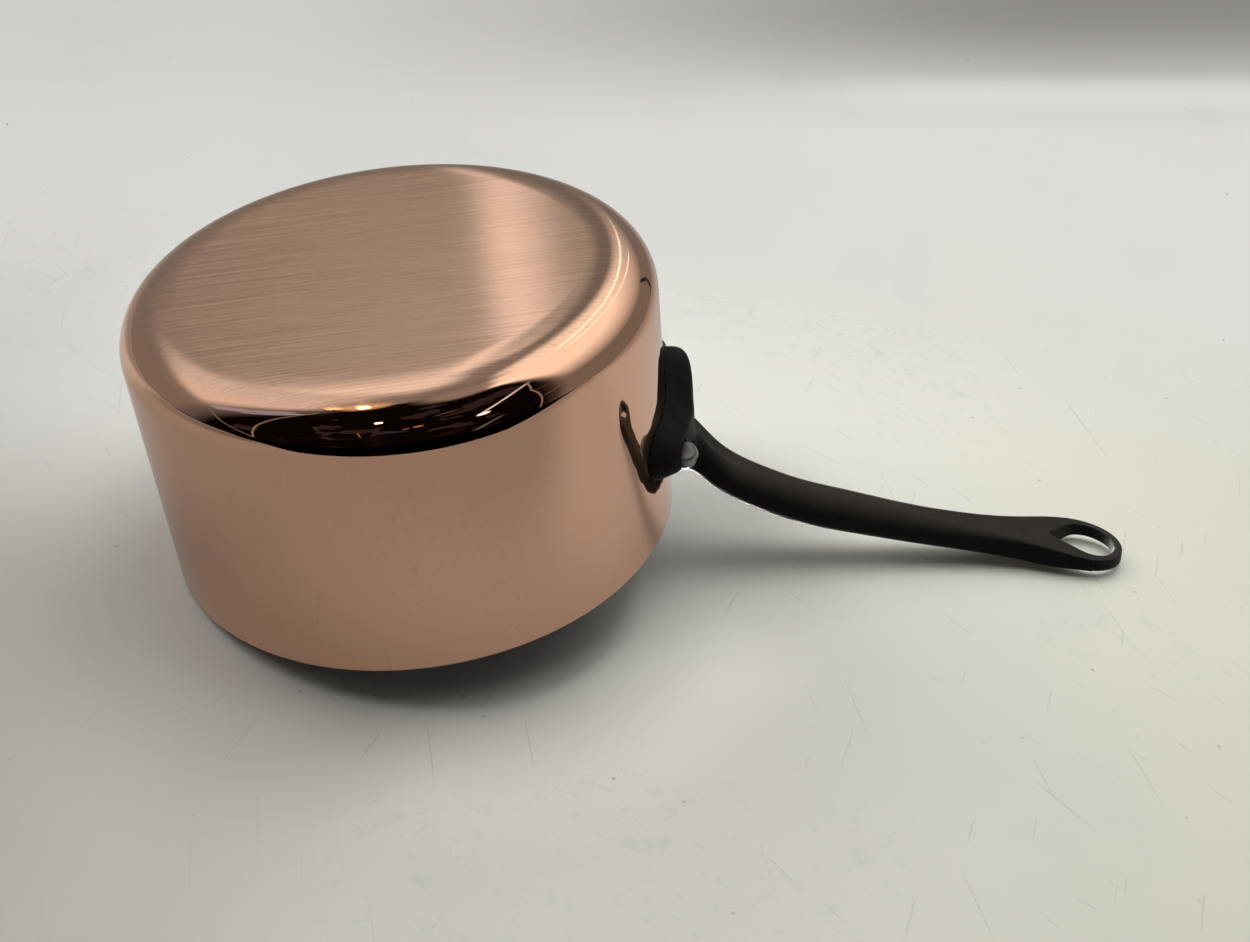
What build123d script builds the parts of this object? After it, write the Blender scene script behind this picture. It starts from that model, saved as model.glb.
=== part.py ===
from build123d import *
import os
from math import sin, cos, radians, degrees, atan2, sqrt, pi

os.makedirs("parts", exist_ok=True)

# ---------------------------------------------------------------------------
# Straight-sided copper saucepan with a riveted cast-iron handle, millimetres.
# Origin: centre of the flat underside of the base. +Z up through the mouth,
# handle along +X.
# ---------------------------------------------------------------------------

# body
D_OUT = 200.0            # outer diameter of the straight wall
R_OUT = D_OUT / 2
H_BODY = 110.0           # underside of the base to the rim
R_CORNER = 17.0          # outer radius between wall and base
T_COPPER = 2.2           # copper
T_LINING = 0.3           # bonded stainless lining
T_WALL = T_COPPER + T_LINING
R_RIM = 0.9              # rounding of the rim's outer edge

# handle flange: a thick plate cast to the wall's curve, with two ears
FLANGE_OUT = 110.4       # radius of the flange's outer face at FLANGE_Z
FLANGE_Z = 80.0
FLANGE_LEAN = 0.03       # how much that radius grows per millimetre towards the base
EAR_ANGLE = 21.0         # rivet's angle about the pan axis, each side of the handle
EAR_Z = 75.6             # height of both rivets
EAR_SEAT = 108.2         # distance of the flat seat under each rivet head from the pan axis
EAR = [                  # ear sections: distance from the pan axis, height of the middle, full height, reach past the rivet
    (95.5, 71.1, 24.4, 17.6),
    (102.5, 72.7, 19.4, 13.4),
    (108.6, 74.9, 12.0, 7.0),
]
EAR_REACH = 32.0         # how far an ear runs in from its rivet towards the middle
BOSS_BOTTOM = 54.2       # lowest point of the flange's middle, at BOSS_X
BOSS_X = 108.0
BOSS_SLOPE = 0.137       # its underside drops this much per millimetre towards the wall
BOSS_HALF = 15.0         # half width of the middle

# handle shaft: x, height of the centre line, half thickness, half width, corner radius as a part of the smaller half
SHAFT = [
    (98.0,  88.0,  9.0, 12.6, 0.60),
    (106.0,  94.6,  7.6, 12.3, 0.75),
    (113.5, 102.8,  6.1, 11.5, 0.88),
    (120.5, 111.4,  6.3, 10.7, 0.90),
    (128.5, 118.6,  7.1,  9.9, 0.92),
    (138.5, 125.7,  8.0,  9.2, 0.94),
    (151.0, 133.4,  8.6,  8.9, 0.94),
    (165.0, 140.2,  8.9,  8.7, 0.94),
    (180.0, 146.5,  8.5,  8.5, 0.92),
    (195.0, 152.7,  7.6,  8.4, 0.88),
    (210.0, 158.5,  6.7,  8.4, 0.80),
    (225.0, 163.8,  6.0,  8.5, 0.66),
    (240.0, 168.9,  5.6,  8.9, 0.46),
    (250.0, 172.1,  5.3,  9.9, 0.32),
    (260.0, 175.3,  5.0, 11.8, 0.24),
    (270.0, 178.2,  4.2, 14.0, 0.20),
    (280.0, 181.1,  3.4, 15.4, 0.20),
    (292.0, 184.5,  3.1, 16.4, 0.20),
    (306.0, 188.1,  3.0, 16.4, 0.20),
]
TIP_X = 299.4            # outermost point of the handle
END_X = 281.0            # where the end is widest
END_HALF = 15.3          # half of its width there

# hanging eye, a teardrop with its point towards the pan
EYE_POINT_X = 266.2
EYE_ROUND_X = 284.3
EYE_R = 11.3
EYE_POINT_R = 1.5

# rivets
RIVET_SHANK = 6.0        # diameter
RIVET_HEAD = 10.6        # diameter of both heads
HEAD_OUT = 5.9           # height of the outer head over its seat
HEAD_IN = 2.6            # height of the flatter inner head
HEAD_SKIRT = 0.8         # upright edge of both heads

# ---------------------------------------------------------------------------
# helpers
# ---------------------------------------------------------------------------
def cup_profile(r, z0, rc, top):
    """half profile of a solid cup-shaped block: radius r, bottom at z0, corner rc, up to top"""
    m = rc * (1 - cos(pi / 4))
    with BuildSketch(Plane.XZ) as s:
        with BuildLine():
            Polyline((0, top), (0, z0), (r - rc, z0))
            ThreePointArc((r - rc, z0), (r - m, z0 + m), (r, z0 + rc))
            Polyline((r, z0 + rc), (r, top), (0, top))
        make_face()
    return s.sketch


def block(r, z0, rc, top):
    return revolve(cup_profile(r, z0, rc, top), Axis.Z)


def radial_plane(angle, radius, z):
    """plane across the radius at this angle about the pan axis, its normal outwards, its y axis up"""
    a = radians(angle)
    return Plane(origin=(radius * cos(a), radius * sin(a), z),
                 x_dir=(-sin(a), cos(a), 0), z_dir=(cos(a), sin(a), 0))


# ---------------------------------------------------------------------------
# body: copper outside, stainless lining bonded inside
# ---------------------------------------------------------------------------
outer = block(R_OUT, 0, R_CORNER, H_BODY)
mid = block(R_OUT - T_COPPER, T_COPPER, R_CORNER - T_COPPER, H_BODY + 5)
inner = block(R_OUT - T_WALL, T_WALL, R_CORNER - T_WALL, H_BODY + 5)

copper = outer - mid
rim_edges = copper.edges().filter_by(GeomType.CIRCLE).group_by(Axis.Z)[-1].sort_by(SortBy.RADIUS)
copper = fillet(rim_edges[-1], R_RIM)

lining_block = block(R_OUT - T_COPPER, T_COPPER, R_CORNER - T_COPPER, H_BODY)
lining = lining_block - inner

# ---------------------------------------------------------------------------
# handle casting
# ---------------------------------------------------------------------------
def shaft_section(i):
    x, z, a, b, k = SHAFT[i]
    if i == 0:
        d = (SHAFT[1][0] - x, SHAFT[1][1] - z)
    elif i == len(SHAFT) - 1:
        d = (x - SHAFT[i - 1][0], z - SHAFT[i - 1][1])
    else:
        d = (SHAFT[i + 1][0] - SHAFT[i - 1][0], SHAFT[i + 1][1] - SHAFT[i - 1][1])
    n = sqrt(d[0] ** 2 + d[1] ** 2)
    p = Plane(origin=(x, 0, z), x_dir=(0, 1, 0), z_dir=(d[0] / n, 0, d[1] / n))
    r = k * min(a, b) * 0.999
    return p * RectangleRounded(2 * b, 2 * a, r)


shaft = loft([shaft_section(i) for i in range(len(SHAFT))])

# rounded end in plan: the wide part closes in a half ellipse
with BuildSketch(Plane.XY) as plan:
    with BuildLine():
        Polyline((END_X, END_HALF), (END_X, END_HALF + 6), (60, END_HALF + 6), (60, -END_HALF - 6),
                 (END_X, -END_HALF - 6), (END_X, -END_HALF))
        EllipticalCenterArc((END_X, 0), TIP_X - END_X, END_HALF, start_angle=-90, arc_size=180)
    make_face()
shaft = shaft & extrude(plan.sketch, amount=260)

# flange ears: each a loft from a tall foot on the wall to a small flat seat for the rivet head
def ear(side):
    faces = []
    for dist, z, h, end in EAR:
        pl = radial_plane(side * EAR_ANGLE, dist, z)
        faces.append(pl * Pos(side * (end - EAR_REACH) / 2, 0) * RectangleRounded(EAR_REACH + end, h, min(h / 2, end) - 0.05))
    return loft(faces)


face_limit = Cone(FLANGE_OUT + FLANGE_LEAN * FLANGE_Z, FLANGE_OUT - FLANGE_LEAN * (300 - FLANGE_Z), 300,
                  align=(Align.CENTER, Align.CENTER, Align.MIN))
ears = (ear(1) + ear(-1)) & face_limit

# middle of the flange: a thick rounded boss that runs up into the shaft
def boss_section(x):
    low = BOSS_BOTTOM + BOSS_SLOPE * (x - BOSS_X)
    return Plane(origin=(x, 0, (low + 108.0) / 2), x_dir=(0, 1, 0), z_dir=(1, 0, 0)) * RectangleRounded(
        2 * BOSS_HALF, 108.0 - low, BOSS_HALF - 0.5)


boss = loft([boss_section(85.0), boss_section(120.0)])
x1 = FLANGE_OUT + FLANGE_LEAN * (FLANGE_Z - BOSS_BOTTOM - 3)
x0 = 104.0
z0 = BOSS_BOTTOM + BOSS_SLOPE * (x0 - BOSS_X)
with BuildSketch(Plane.XZ) as side_outline:
    with BuildLine():
        Polyline((x1 + 0.05, BOSS_BOTTOM + 4.5), (x1 + 0.05, 78), (109.8, 86), (108.0, 100), (104, 108), (80, 108), (80, z0 - 4), (x0, z0))
        Bezier((x0, z0), (x1, BOSS_BOTTOM + 0.3), (x1 + 0.05, BOSS_BOTTOM + 4.5))
    make_face()
boss = boss & extrude(side_outline.sketch, amount=30, both=True) & face_limit

wall_core = Cylinder(R_OUT, 300, align=(Align.CENTER, Align.CENTER, Align.MIN)).moved(Location((0, 0, -20)))
handle = (shaft + ears + boss) - wall_core

# hanging eye
ang = degrees(atan2(EYE_R - EYE_POINT_R, EYE_ROUND_X - (EYE_POINT_X + EYE_POINT_R)))
with BuildSketch(Plane.XY) as eye:
    with Locations((EYE_ROUND_X, 0)):
        Circle(EYE_R)
    with Locations((EYE_POINT_X + EYE_POINT_R, 0)):
        Circle(EYE_POINT_R)
    make_hull()
handle = handle - extrude(eye.sketch, amount=260)

# ---------------------------------------------------------------------------
# rivets
# ---------------------------------------------------------------------------
def dome(base, h, sgn, under):
    """domed rivet head on the z axis: seat at base, height h, a short upright skirt, then a round cap"""
    a, skirt = RIVET_HEAD / 2, HEAD_SKIRT
    c = (h * h - skirt * skirt - a * a) / (2 * (h - skirt))
    rs = h - c
    tm = (atan2(skirt - c, a) + pi / 2) / 2
    with BuildSketch(Plane.XZ) as s:
        with BuildLine():
            Polyline((0, base - sgn * under), (a, base - sgn * under), (a, base + sgn * skirt))
            ThreePointArc((a, base + sgn * skirt), (rs * cos(tm), base + sgn * (c + rs * sin(tm))), (0, base + sgn * h))
            Line((0, base + sgn * h), (0, base - sgn * under))
        make_face()
    return revolve(s.sketch, Axis.Z)


def along(r, z0, z1):
    return Pos(0, 0, z0) * Cylinder(r, z1 - z0, align=(Align.CENTER, Align.CENTER, Align.MIN))


R_IN = R_OUT - T_WALL
bore_space = along(R_IN, -20, 280)
rivets = {}
for side, name in ((1, "rivet_near"), (-1, "rivet_far")):
    pl = radial_plane(side * EAR_ANGLE, 0, EAR_Z)
    hole = pl * along(RIVET_SHANK / 2, 70, 130)
    spot = pl * along(RIVET_HEAD / 2 + 0.9, EAR_SEAT, 130)      # flat seat for the outer head
    handle = handle - hole - spot
    copper = copper - hole
    lining = lining - hole
    inner_head = (pl * dome(R_IN, HEAD_IN, -1, 0.6)) & bore_space
    rivets[name] = (pl * along(RIVET_SHANK / 2, R_IN - 1, EAR_SEAT)) + (pl * dome(EAR_SEAT, HEAD_OUT, 1, 0)) + inner_head

nodes = {"copper_body": copper, "steel_lining": lining, "iron_handle": handle, **rivets}
for name, shape in nodes.items():
    shape.label = name
    export_step(shape, f"parts/{name}.step")
    bb = shape.bounding_box()
    print(name, "solids", len(shape.solids()), "volume %.1f" % shape.volume,
          "box", [round(v, 2) for v in (bb.min.X, bb.min.Y, bb.min.Z, bb.max.X, bb.max.Y, bb.max.Z)])
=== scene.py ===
import bpy
import math
import numpy as np
from mathutils import Matrix, Vector


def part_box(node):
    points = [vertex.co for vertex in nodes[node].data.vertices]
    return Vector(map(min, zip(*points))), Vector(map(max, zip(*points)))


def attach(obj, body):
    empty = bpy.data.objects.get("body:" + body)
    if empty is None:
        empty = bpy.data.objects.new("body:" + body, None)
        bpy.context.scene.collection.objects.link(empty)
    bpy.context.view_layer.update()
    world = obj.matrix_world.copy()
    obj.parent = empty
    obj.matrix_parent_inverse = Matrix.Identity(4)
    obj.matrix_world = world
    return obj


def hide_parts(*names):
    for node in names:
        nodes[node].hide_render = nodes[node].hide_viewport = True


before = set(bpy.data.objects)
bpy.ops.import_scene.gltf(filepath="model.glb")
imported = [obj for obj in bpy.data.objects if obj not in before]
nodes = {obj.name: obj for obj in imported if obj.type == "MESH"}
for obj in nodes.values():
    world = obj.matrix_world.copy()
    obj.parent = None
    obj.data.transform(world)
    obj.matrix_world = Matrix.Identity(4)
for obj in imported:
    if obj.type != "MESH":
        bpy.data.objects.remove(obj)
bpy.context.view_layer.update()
scene = bpy.context.scene
coll = scene.collection

# ---------------------------------------------------------------------------
# the table the pan rests on, upside down, on its rim and on the handle's end
# ---------------------------------------------------------------------------
TILT = math.radians(11.6)
N = Vector((math.sin(TILT), 0, -math.cos(TILT)))          # away from the table, towards the pan
P0 = Vector((-0.100, 0, 0.1101))                          # the rim's contact point
CAM_LOC = Vector((0.03787, 0.54158, -0.28431))
CAM_RIGHT = Vector((0.98857, 0.13225, 0.07234)).normalized()
CAM_UP = Vector((0.13584, -0.57353, -0.80785)).normalized()
CAM_BACK = CAM_RIGHT.cross(CAM_UP).normalized()
H = (-CAM_BACK - (-CAM_BACK).dot(N) * N).normalized()      # level, away from the camera
S = H.cross(N).normalized()
if S.dot(CAM_RIGHT) < 0:
    S = -S


def toward(az, el):
    """direction from the pan: az 0 away from the camera, 90 to its right, el above the table, degrees"""
    a, e = math.radians(az), math.radians(el)
    return (math.cos(e) * (math.cos(a) * H + math.sin(a) * S) + math.sin(e) * N).normalized()


# ---------------------------------------------------------------------------
# camera
# ---------------------------------------------------------------------------
cam_data = bpy.data.cameras.new("camera")
cam_data.sensor_fit = "HORIZONTAL"
cam_data.sensor_width = 36.0
cam_data.lens = 47.07
cam_data.clip_start, cam_data.clip_end = 0.01, 50
cam = bpy.data.objects.new("camera", cam_data)
coll.objects.link(cam)
m = Matrix.Identity(4)
for i, v in enumerate((CAM_RIGHT, CAM_UP, CAM_BACK, CAM_LOC)):
    for j in range(3):
        m[j][i] = v[j]
cam.matrix_world = m
scene.camera = cam


# ---------------------------------------------------------------------------
# node helpers
# ---------------------------------------------------------------------------
class Tree:
    def __init__(self, tree):
        self.t = tree
        self.t.nodes.clear()

    def n(self, kind, **kw):
        node = self.t.nodes.new(kind)
        for k, v in kw.items():
            setattr(node, k, v)
        return node

    def link(self, a, b):
        self.t.links.new(a, b)

    def put(self, socket, v):
        if isinstance(v, bpy.types.NodeSocket):
            self.link(v, socket)
        elif v is not None:
            socket.default_value = v

    def math(self, op, a, b=None, c=None, clamp=False):
        node = self.n("ShaderNodeMath", operation=op, use_clamp=clamp)
        self.put(node.inputs[0], a)
        if b is not None:
            self.put(node.inputs[1], b)
        if c is not None:
            self.put(node.inputs[2], c)
        return node.outputs[0]

    def vmath(self, op, a, b=None):
        node = self.n("ShaderNodeVectorMath", operation=op)
        self.put(node.inputs[0], a)
        if b is not None:
            self.put(node.inputs[1], b)
        return node.outputs["Value"] if op in ("DOT_PRODUCT", "LENGTH", "DISTANCE") else node.outputs[0]

    def ramp(self, v, a, b, lo=0.0, hi=1.0, smooth=True):
        node = self.n("ShaderNodeMapRange", interpolation_type="SMOOTHSTEP" if smooth else "LINEAR", clamp=True)
        self.put(node.inputs[0], v)
        for i, x in zip((1, 2, 3, 4), (a, b, lo, hi)):
            node.inputs[i].default_value = x
        return node.outputs[0]

    def mix(self, f, a, b, kind="MIX"):
        node = self.n("ShaderNodeMix", data_type="RGBA", blend_type=kind)
        self.put(node.inputs["Factor"], f)
        ins = [s for s in node.inputs if s.type == "RGBA"]
        for s, v in zip(ins, (a, b)):
            if isinstance(v, bpy.types.NodeSocket):
                self.link(v, s)
            else:
                s.default_value = (*v, 1) if len(v) == 3 else v
        return [s for s in node.outputs if s.type == "RGBA"][0]

    def scaled(self, vec, s, loc=(0, 0, 0), rot=(0, 0, 0)):
        node = self.n("ShaderNodeMapping")
        self.link(vec, node.inputs[0])
        node.inputs["Scale"].default_value = s
        node.inputs["Location"].default_value = loc
        node.inputs["Rotation"].default_value = rot
        return node.outputs[0]

    def noise(self, vec, scale, detail=3.0, rough=0.5, dims="3D", distortion=0.0):
        node = self.n("ShaderNodeTexNoise", noise_dimensions=dims)
        if vec is not None:
            self.link(vec, node.inputs["Vector"])
        node.inputs["Scale"].default_value = scale
        node.inputs["Detail"].default_value = detail
        node.inputs["Roughness"].default_value = rough
        node.inputs["Distortion"].default_value = distortion
        return node.outputs["Fac"]

    def voronoi(self, vec, scale, feature="F1", rand=1.0):
        node = self.n("ShaderNodeTexVoronoi", feature=feature)
        self.link(vec, node.inputs["Vector"])
        node.inputs["Scale"].default_value = scale
        node.inputs["Randomness"].default_value = rand
        return node

    def bump(self, height, strength, distance, normal=None):
        node = self.n("ShaderNodeBump")
        self.link(height, node.inputs["Height"])
        node.inputs["Strength"].default_value = strength
        node.inputs["Distance"].default_value = distance
        if normal is not None:
            self.link(normal, node.inputs["Normal"])
        return node.outputs[0]


def material(name):
    mat = bpy.data.materials.new(name)
    mat.use_nodes = True
    t = Tree(mat.node_tree)
    out = t.n("ShaderNodeOutputMaterial")
    return mat, t, out


def principled(t, out, **kw):
    p = t.n("ShaderNodeBsdfPrincipled")
    t.link(p.outputs[0], out.inputs["Surface"])
    for k, v in kw.items():
        t.put(p.inputs[k.replace("_", " ")], v)
    return p


def give(obj, mat):
    for s in obj.material_slots:
        s.link = "OBJECT"
        s.material = mat


# ---------------------------------------------------------------------------
# world: a light tent open towards the camera, where the room is dark
# ---------------------------------------------------------------------------
def make_world():
    world = bpy.data.worlds.new("studio")
    scene.world = world
    world.use_nodes = True
    t = Tree(world.node_tree)
    out = t.n("ShaderNodeOutputWorld")
    co = t.n("ShaderNodeTexCoord").outputs["Generated"]
    d = t.vmath("NORMALIZE", co)

    def dot(v):
        return t.vmath("DOT_PRODUCT", d, tuple(v))

    up, away, side = dot(N), dot(H), dot(S)
    ang = t.math("MULTIPLY", t.math("ARCTAN2", side, away), 57.29578)
    el = t.math("MULTIPLY", t.math("ARCSINE", up), 57.29578)
    x = t.n("ShaderNodeSeparateXYZ")
    t.link(d, x.inputs[0])
    x = x.outputs[0]

    def blob(az, elev, inner, outer):
        return t.ramp(dot(toward(az, elev)), math.cos(math.radians(outer)), math.cos(math.radians(inner)))

    def box(a0, a1, a2, a3, e0, e1, e2, e3):
        """1 between a1 and a2 and between e1 and e2, fading to 0 at the outer values"""
        w = t.math("MULTIPLY", t.ramp(ang, a0, a1), t.ramp(ang, a3, a2))
        return t.math("MULTIPLY", w, t.math("MULTIPLY", t.ramp(el, e0, e1), t.ramp(el, e3, e2)))

    def line(p, q, width):
        """a thin bright strip from direction p to direction q"""
        p, q = Vector(p).normalized(), Vector(q).normalized()
        n, m = p.cross(q).normalized(), (p + q).normalized()
        across = t.ramp(t.math("ABSOLUTE", dot(n)), width * 1.6, width * 0.5)
        half = math.cos(p.angle(q) / 2)
        return t.math("MULTIPLY", across, t.ramp(dot(m), half - 0.004, half + 0.004))

    # sides of the tent: dim near the table, brighter upwards
    c = t.mix(t.ramp(el, 16, 27), (0.215, 0.211, 0.204), (0.25, 0.246, 0.236))
    c = t.mix(t.ramp(ang, -17, -7), c, (0.19, 0.186, 0.178))
    c = t.mix(t.ramp(el, 45, 52), c, (0.28, 0.27, 0.26))
    # panels on the left
    c = t.mix(box(-99, -85, -52, -34, 23, 31, 56, 68), c, (0.76, 0.75, 0.74))
    c = t.mix(box(-48, -38, -28, -20, 35, 40, 62, 70), c, (1.06, 1.04, 1.0))
    c = t.mix(box(-34, -27, -17, -11, 34, 38, 44, 50), c, (0.98, 0.97, 0.94))
    # panel on the right
    low = t.math("MULTIPLY_ADD", ang, -0.2, t.math("ADD", el, 3.0))
    c = t.mix(t.math("MULTIPLY", box(-8, 4, 92, 102, -5, 0, 80, 86), t.ramp(low, 15, 42, smooth=False)), c, (1.14, 1.11, 1.05))
    # dim roof
    c = t.mix(t.math("MULTIPLY", t.ramp(el, 73, 79), t.ramp(ang, 35, 5)), c, (0.22, 0.215, 0.21))
    c = t.mix(t.ramp(el, 80, 86), c, (0.28, 0.275, 0.27))
    # lamp over the pan, seen as a band on the brushed base
    band = t.math("MULTIPLY", t.ramp(x, -0.012, 0.012), t.ramp(x, 0.056, 0.012))
    band = t.math("MULTIPLY", band, t.math("MULTIPLY", t.ramp(el, 10, 31), t.math("MULTIPLY", t.ramp(el, 46, 38), t.ramp(away, -0.1, 0.1))))
    c = t.mix(band, c, (1.34, 1.30, 1.25))
    # dark room in front
    front = t.math("MAXIMUM", t.ramp(ang, 98, 106), t.ramp(ang, -92, -101))
    front = t.math("MULTIPLY", front, t.ramp(el, 84, 77))
    cells = t.n("ShaderNodeTexVoronoi", distance="CHEBYCHEV")
    t.link(t.scaled(d, (1, 1, 1), rot=(0.4, 0.3, 0.7)), cells.inputs["Vector"])
    cells.inputs["Scale"].default_value = 7.0
    pick = t.n("ShaderNodeSeparateColor")
    t.link(cells.outputs["Color"], pick.inputs[0])
    soft = t.noise(d, 4.0, 3.0, 0.6)
    dark = t.mix(t.ramp(soft, 0.52, 0.78), (0.003, 0.0016, 0.0016), (0.012, 0.008, 0.008))
    dark = t.mix(t.ramp(pick.outputs[0], 0.90, 0.92), dark, (0.028, 0.022, 0.024))
    # the ends of the room are lighter
    dark = t.mix(t.math("MULTIPLY", t.math("MULTIPLY", t.ramp(ang, -112, -100), t.ramp(ang, 0, -90)), t.ramp(el, 66, 58)), dark, (0.13, 0.125, 0.145))
    dark = t.mix(t.math("MULTIPLY", t.math("MULTIPLY", t.ramp(ang, 113, 102), t.ramp(ang, 60, 90)), t.ramp(el, 60, 30)), dark, (0.07, 0.06, 0.057))
    c = t.mix(front, c, dark)

    # lamps and bright things in the room
    def strip(points, width, colour):
        nonlocal c
        points = [Vector(p) if len(p) == 3 else toward(*p) for p in points]
        for p, q in zip(points, points[1:]):
            c = t.mix(line(p, q, width), c, colour)

    strip([(-97, 27), (-101, 41), (-104, 53)], 0.040, (0.34, 0.39, 0.55))
    strip([(-104, 36), (-108, 47), (-108, 56)], 0.010, (0.42, 0.48, 0.62))
    strip([(-99, 24), (-114, 13), (-132, 2)], 0.007, (0.20, 0.19, 0.19))
    strip([(-132, 2), (-123, 26), (-115, 44), (-105, 59)], 0.007, (0.26, 0.24, 0.23))
    strip([(141, 35), (131, 47), (118, 56), (107, 60)], 0.014, (0.85, 0.95, 1.15))
    strip([(141, -4), (135, 8), (131, 14)], 0.022, (0.14, 0.13, 0.14))
    strip([(107, 60), (114, 44), (113, 27), (112, -2)], 0.006, (0.30, 0.27, 0.25))
    strip([(110, 21), (103, 24)], 0.006, (0.34, 0.30, 0.28))
    strip([(-178, 30), (174, 30)], 0.026, (0.03, 0.05, 0.14))
    strip([(-170, 22), (-165, 32)], 0.005, (0.22, 0.18, 0.14))
    strip([(164, 55), (158, 57)], 0.006, (0.5, 0.42, 0.36))
    strip([(-160, 18), (-154, 22)], 0.02, (0.05, 0.04, 0.035))
    strip([(-146, 34), (-140, 40)], 0.012, (0.05, 0.045, 0.045))
    # a light over the front edge of the roof
    strip([(100, 80), (88, 76), (74, 72)], 0.030, (1.5, 1.45, 1.38))
    for az, elev, r, col in ((-96, 69, 1.0, (40, 30, 16)), (-163, 52, 0.9, (22, 17, 11)), (170, 37, 1.4, (0.45, 0.20, 0.05)), (175, 35, 1.0, (0.25, 0.11, 0.03)),
                             (140, 33, 2.0, (1.3, 1.7, 2.2)), (-92, 63, 1.4, (2.2, 1.5, 0.9))):
        c = t.mix(blob(az, elev, r, r * 1.6), c, col)
    c = t.mix(t.math("MULTIPLY", blob(-94, 69, 1.5, 7), 0.5), c, (1.4, 1.0, 0.6))
    # two thin lights behind, drawn out along the corner
    strip([(2, 22), (12, 45), (26, 64)], 0.012, (2.2, 1.98, 1.76))
    strip([(12, 24), (22, 44), (38, 62)], 0.008, (1.9, 1.72, 1.54))
    # a thin dark strip low on the right, mirrored in the corner as a dark hook
    strip([(30, 20), (30, 9), (32, 0), (37, -3)], 0.016, (0.02, 0.014, 0.012))
    # nothing from under the table
    edge = t.math("ABSOLUTE", ang)
    c = t.mix(t.math("MULTIPLY", t.ramp(el, 0.5, -3.5), t.ramp(edge, 92, 98)), c, (0.0, 0.0, 0.0))
    c = t.mix(t.ramp(el, -7, -12), c, (0.0, 0.0, 0.0))
    lit = t.n("ShaderNodeBackground")
    t.link(c, lit.inputs[0])
    lit.inputs[1].default_value = 1.0
    plain = t.n("ShaderNodeBackground")
    plain.inputs[0].default_value = (0.66, 0.665, 0.66, 1)
    mixer = t.n("ShaderNodeMixShader")
    t.link(t.n("ShaderNodeLightPath").outputs["Is Camera Ray"], mixer.inputs[0])
    t.link(lit.outputs[0], mixer.inputs[1])
    t.link(plain.outputs[0], mixer.inputs[2])
    t.link(mixer.outputs[0], out.inputs[0])


make_world()


# ---------------------------------------------------------------------------
# table and floor
# ---------------------------------------------------------------------------
def on_table(x, y, lift=0.0):
    z = P0.z + (x - P0.x) * math.tan(TILT)
    return Vector((x, y, z)) + N * lift


def sheet_mesh(name, pts, faces, mat):
    me = bpy.data.meshes.new(name)
    me.from_pydata([tuple(p) for p in pts], [], faces)
    me.update()
    ob = bpy.data.objects.new(name, me)
    coll.objects.link(ob)
    me.materials.append(mat)
    return ob


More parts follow.
